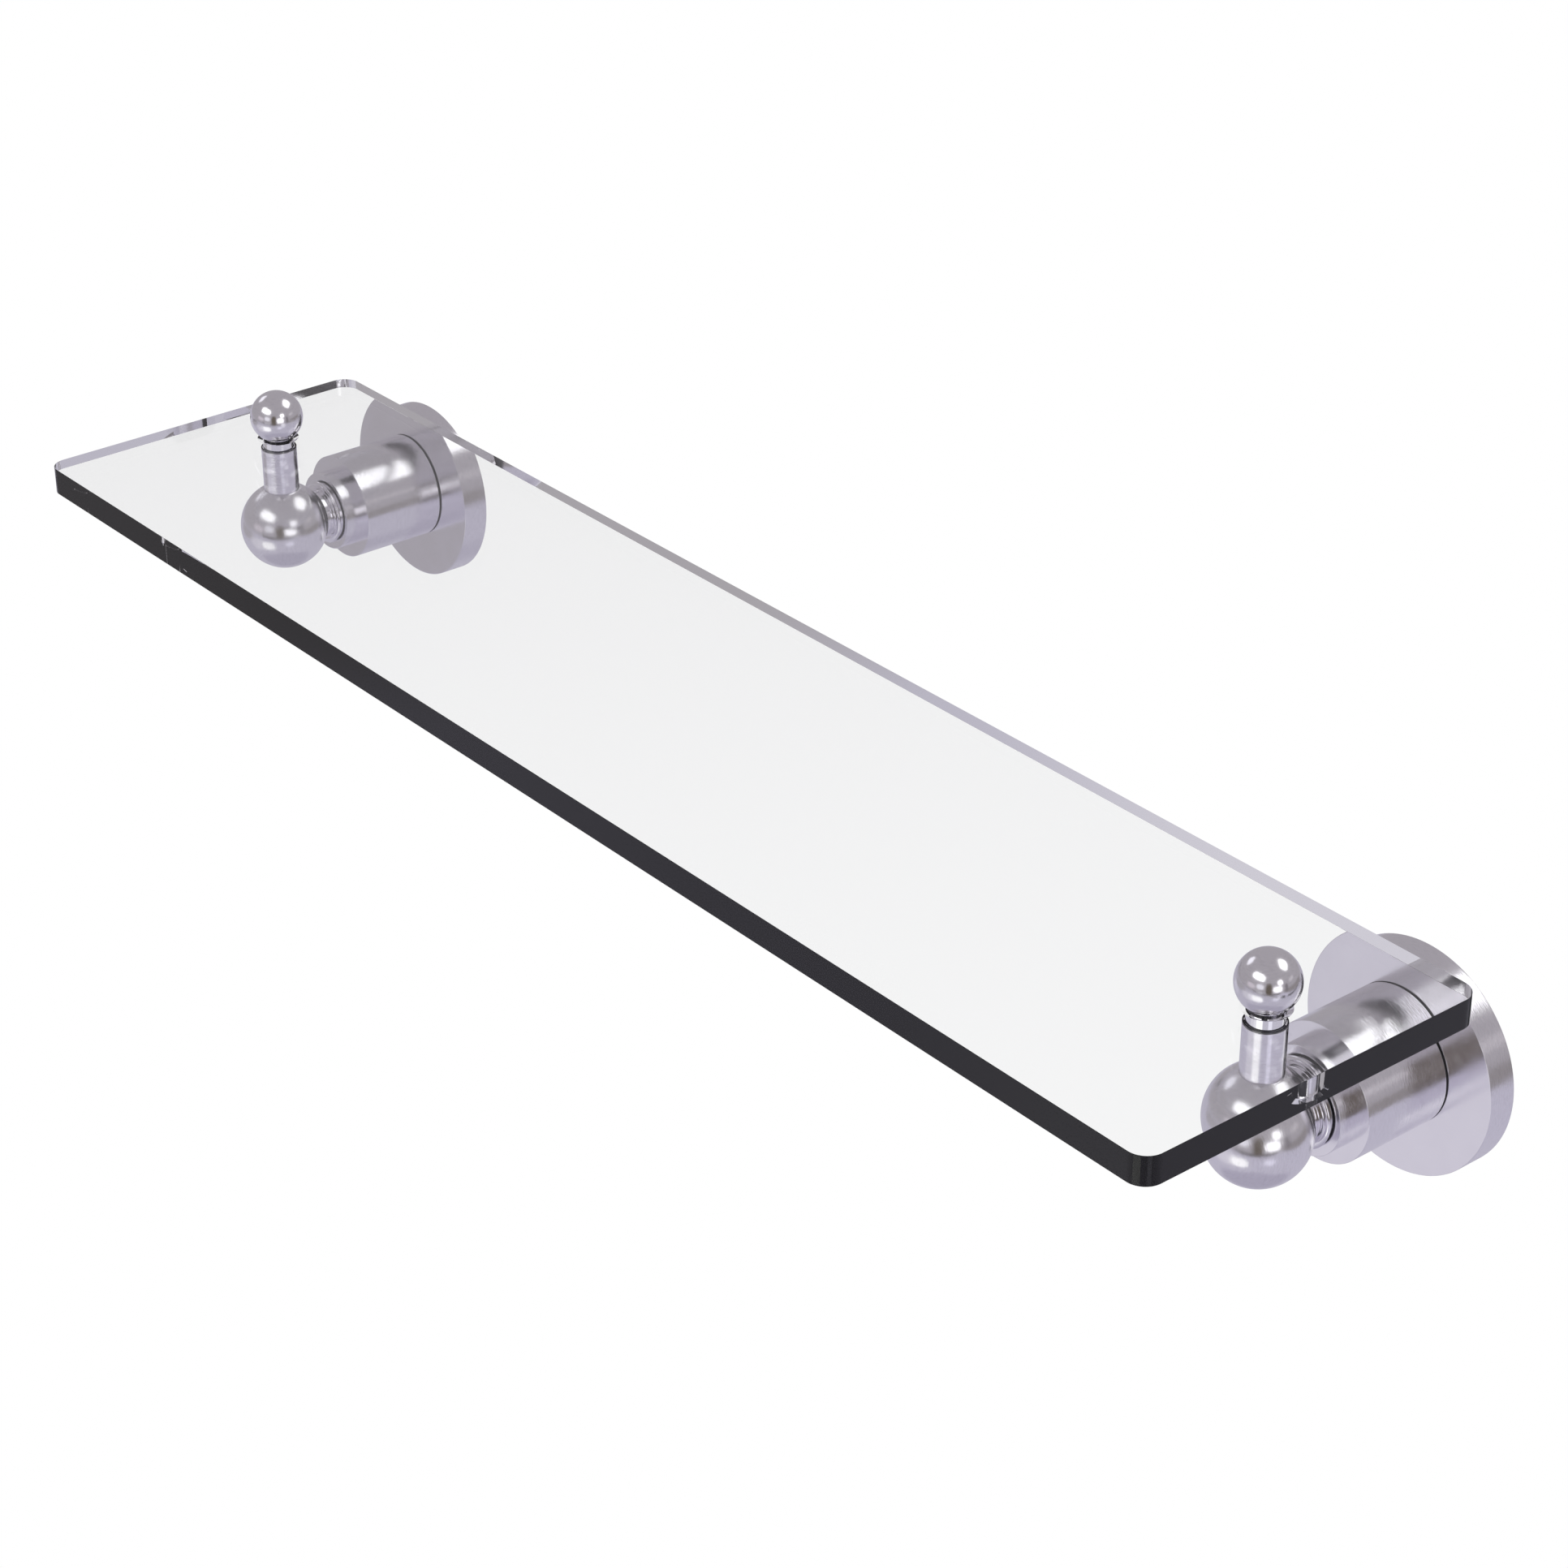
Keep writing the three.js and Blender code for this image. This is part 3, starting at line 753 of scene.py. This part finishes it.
def make_grub_screw(side):
    """A socket set screw standing point up in the underside of the flange."""
    node = f"{side}_flange_grub_screw"
    bottom, top = span(node, 2)
    radius = radius_of(node)
    threaded = [(bottom + 0.5, top - 1.2)]
    outline, shape = thread(bottom, top, radius, GRUB_THREAD_PITCH, threaded, chamfer=0.25)
    cone = [(min(r, 0.8 + max(0.0, top - 0.1 - h)), h) for r, h in outline]
    mesh = revolve(cone, SMALL, shape=shape)
    socket = revolve([
        (0, bottom - 1), (GRUB_SOCKET_RADIUS, bottom - 1),
        (GRUB_SOCKET_RADIUS, bottom + GRUB_SOCKET_DEPTH), (0, bottom + GRUB_SOCKET_DEPTH + 0.5),
    ], 6)
    mesh = carve(mesh, [(socket, Matrix.Identity(4))])
    stand = Matrix.Translation((middle(node).x, middle(node).y, 0))
    add_object(f"{node}_visual", mesh, stand, ZINC, FIXED_BODY, node)


def make_tie_rod(side):
    front, back = span(f"{side}_tie_rod", 1)
    stretches = [(front, front + ROD_THREAD_LENGTH), (back - ROD_THREAD_LENGTH, back)]
    outline, shape = thread(front, back, radius_of(f"{side}_tie_rod"), ROD_THREAD_PITCH, stretches)
    arm_piece(side, "tie_rod", revolve(outline, SMALL, shape=shape), ZINC)


def make_tie_rod_washer(side):
    node = f"{side}_tie_rod_washer"
    front, back = span(node, 1)
    mesh = revolve(rounded([
        (ROD_BORE_RADIUS, front, 0.12),
        (radius_of(node), front, 0.2),
        (radius_of(node), back, 0.12),
        (ROD_BORE_RADIUS, back, 0.12),
    ], loop=True), MEDIUM, loop=True)
    arm_piece(side, "tie_rod_washer", mesh, ZINC)


def make_tie_rod_nut(side):
    """A hexagon nut with the corners turned off at both faces."""
    node = f"{side}_tie_rod_nut"
    front, back = span(node, 1)
    flat = radius_of(node)
    corner = flat / math.cos(math.pi / 6)
    slope = math.tan(math.radians(NUT_CHAMFER_DEGREES))
    depth = (corner - NUT_FACE_SHARE * flat) / slope
    rise = [depth * i / 6 for i in range(7)]
    heights = [front + step for step in rise] + [back - step for step in reversed(rise)]

    def shape(radius, height, angle):
        if radius < flat:
            return radius
        to_flat = math.radians((math.degrees(angle) + 30) % 60 - 30)
        reach = NUT_FACE_SHARE * flat + slope * min(height - front, back - height)
        return min(flat / math.cos(to_flat), reach)

    outline = [(ROD_BORE_RADIUS, front), *((corner, h) for h in heights), (ROD_BORE_RADIUS, back)]
    arm_piece(side, "tie_rod_nut", revolve(outline, MEDIUM, loop=True, shape=shape), ZINC)


def make_finial_stud(side):
    node = f"{side}_finial_stud"
    bottom, top = span(node, 2)
    outline, shape = thread(bottom, top, radius_of(node), STUD_THREAD_PITCH, [(bottom, top)])
    mesh = revolve(outline, SMALL, shape=shape)
    post_piece(side, "finial_stud", mesh, ZINC, body=f"{side}_finial_lift")


for side in SIDES:
    make_wall_plate(side)
    make_grub_screw(side)
    make_tie_rod(side)
    make_tie_rod_washer(side)
    make_tie_rod_nut(side)
    make_finial_stud(side)
    make_flange(side)
    make_barrel(side)
    make_gasket(side)
    make_collar(side)
    make_beaded_neck(side)
    make_ball(side)
    make_post(side)
    make_glass_washer(side)
    make_finial(side)


# ---- glass

def shelf_outline(half_length, front, back, radius, steps=20):
    """The shelf's outline seen from above, anticlockwise, with a support point beside each corner."""
    corners = [(half_length, front, -90), (half_length, back, 0), (-half_length, back, 90),
               (-half_length, front, 180)]
    points = []
    for x, y, first in corners:
        cx, cy = x - math.copysign(radius, x), y + (radius if y == front else -radius)
        entry, leave = math.radians(first), math.radians(first + 90)
        points.append((cx + radius * math.cos(entry) + math.sin(entry) * 1.0,
                       cy + radius * math.sin(entry) - math.cos(entry) * 1.0))
        for i in range(steps + 1):
            angle = entry + (leave - entry) * i / steps
            points.append((cx + radius * math.cos(angle), cy + radius * math.sin(angle)))
        points.append((cx + radius * math.cos(leave) - math.sin(leave) * 1.0,
                       cy + radius * math.sin(leave) + math.cos(leave) * 1.0))
    return points


def make_glass():
    (x0, x1), (front, back), (bottom, top) = (span("glass_shelf", axis) for axis in range(3))
    hole_y = middle("left_post").y / MM
    edge_levels = [
        (bottom, GLASS_ARRIS), (bottom + GLASS_ARRIS, 0.0), (top - GLASS_ARRIS, 0.0), (top, GLASS_ARRIS),
    ]
    hole_levels = [
        (bottom, GLASS_HOLE_ARRIS), (bottom + GLASS_HOLE_ARRIS, 0.0),
        (top - GLASS_COUNTERSINK_DEPTH, 0.0), (top, GLASS_COUNTERSINK_WIDTH),
    ]
    work = bmesh.new()

    def loop_at(outline, z):
        return [work.verts.new((x * MM, y * MM, z * MM)) for x, y in outline]

    def hole(centre_x, radius, count=96):
        turns = (2 * math.pi * k / count for k in range(count))
        return [(centre_x + radius * math.cos(a), hole_y + radius * math.sin(a)) for a in turns]

    stacks = [[
        loop_at(shelf_outline(x1 - inset, front + inset, back - inset, GLASS_CORNER_RADIUS - inset), z)
        for z, inset in edge_levels
    ]]
    for side in SIDES:
        centre_x = middle(f"{side}_post").x / MM
        stacks.append([
            loop_at(hole(centre_x, GLASS_HOLE_RADIUS + flare), z) for z, flare in hole_levels
        ])
    for stack in stacks:
        for low, high in zip(stack, stack[1:]):
            for k in range(len(low)):
                nxt = (k + 1) % len(low)
                work.faces.new((low[k], low[nxt], high[nxt], high[k])).smooth = True
    for level in (0, -1):
        edges = []
        for stack in stacks:
            ring = stack[level]
            edges += [work.edges.get((ring[k], ring[(k + 1) % len(ring)])) for k in range(len(ring))]
        filled = bmesh.ops.triangle_fill(work, use_beauty=True, use_dissolve=False, edges=edges)
        for face in filled["geom"]:
            if isinstance(face, bmesh.types.BMFace):
                face.smooth = False
    bmesh.ops.recalc_face_normals(work, faces=work.faces)
    mesh = bpy.data.meshes.new("glass")
    work.to_mesh(mesh)
    work.free()
    mesh.set_sharp_from_angle(angle=math.radians(GLASS_SHARP_DEGREES))
    name = "glass_shelf"
    add_object(f"{name}_visual", mesh, Matrix.Identity(4), GLASS, FIXED_BODY, name)


make_glass()


# ---- floor

def lay_floor():
    """A plain pale floor well below the shelf. It is seen directly only, and not from underneath."""
    mesh = bpy.data.meshes.new("floor")
    work = bmesh.new()
    bmesh.ops.create_grid(work, x_segments=1, y_segments=1, size=30)
    work.to_mesh(mesh)
    work.free()
    floor = bpy.data.objects.new("floor", mesh)
    floor.location.z = FLOOR_Z
    floor.visible_diffuse = floor.visible_glossy = floor.visible_transmission = False
    floor.visible_volume_scatter = floor.visible_shadow = False
    bpy.context.scene.collection.objects.link(floor)
    material, nodes, shader = new_material("pale_floor")
    nodes.tree.nodes.remove(shader)
    glow = nodes.node("ShaderNodeEmission")
    glow.inputs["Color"].default_value = rgba(WHITE_BACKGROUND)
    gone = nodes.node("ShaderNodeBsdfTransparent")
    underneath = nodes.node("ShaderNodeMixShader")
    nodes.put(nodes.node("ShaderNodeNewGeometry").outputs["Backfacing"], underneath.inputs[0])
    nodes.put(glow.outputs[0], underneath.inputs[1])
    nodes.put(gone.outputs[0], underneath.inputs[2])
    output = next(node for node in nodes.tree.nodes if node.type == "OUTPUT_MATERIAL")
    nodes.put(underneath.outputs[0], output.inputs["Surface"])
    mesh.materials.append(material)


lay_floor()
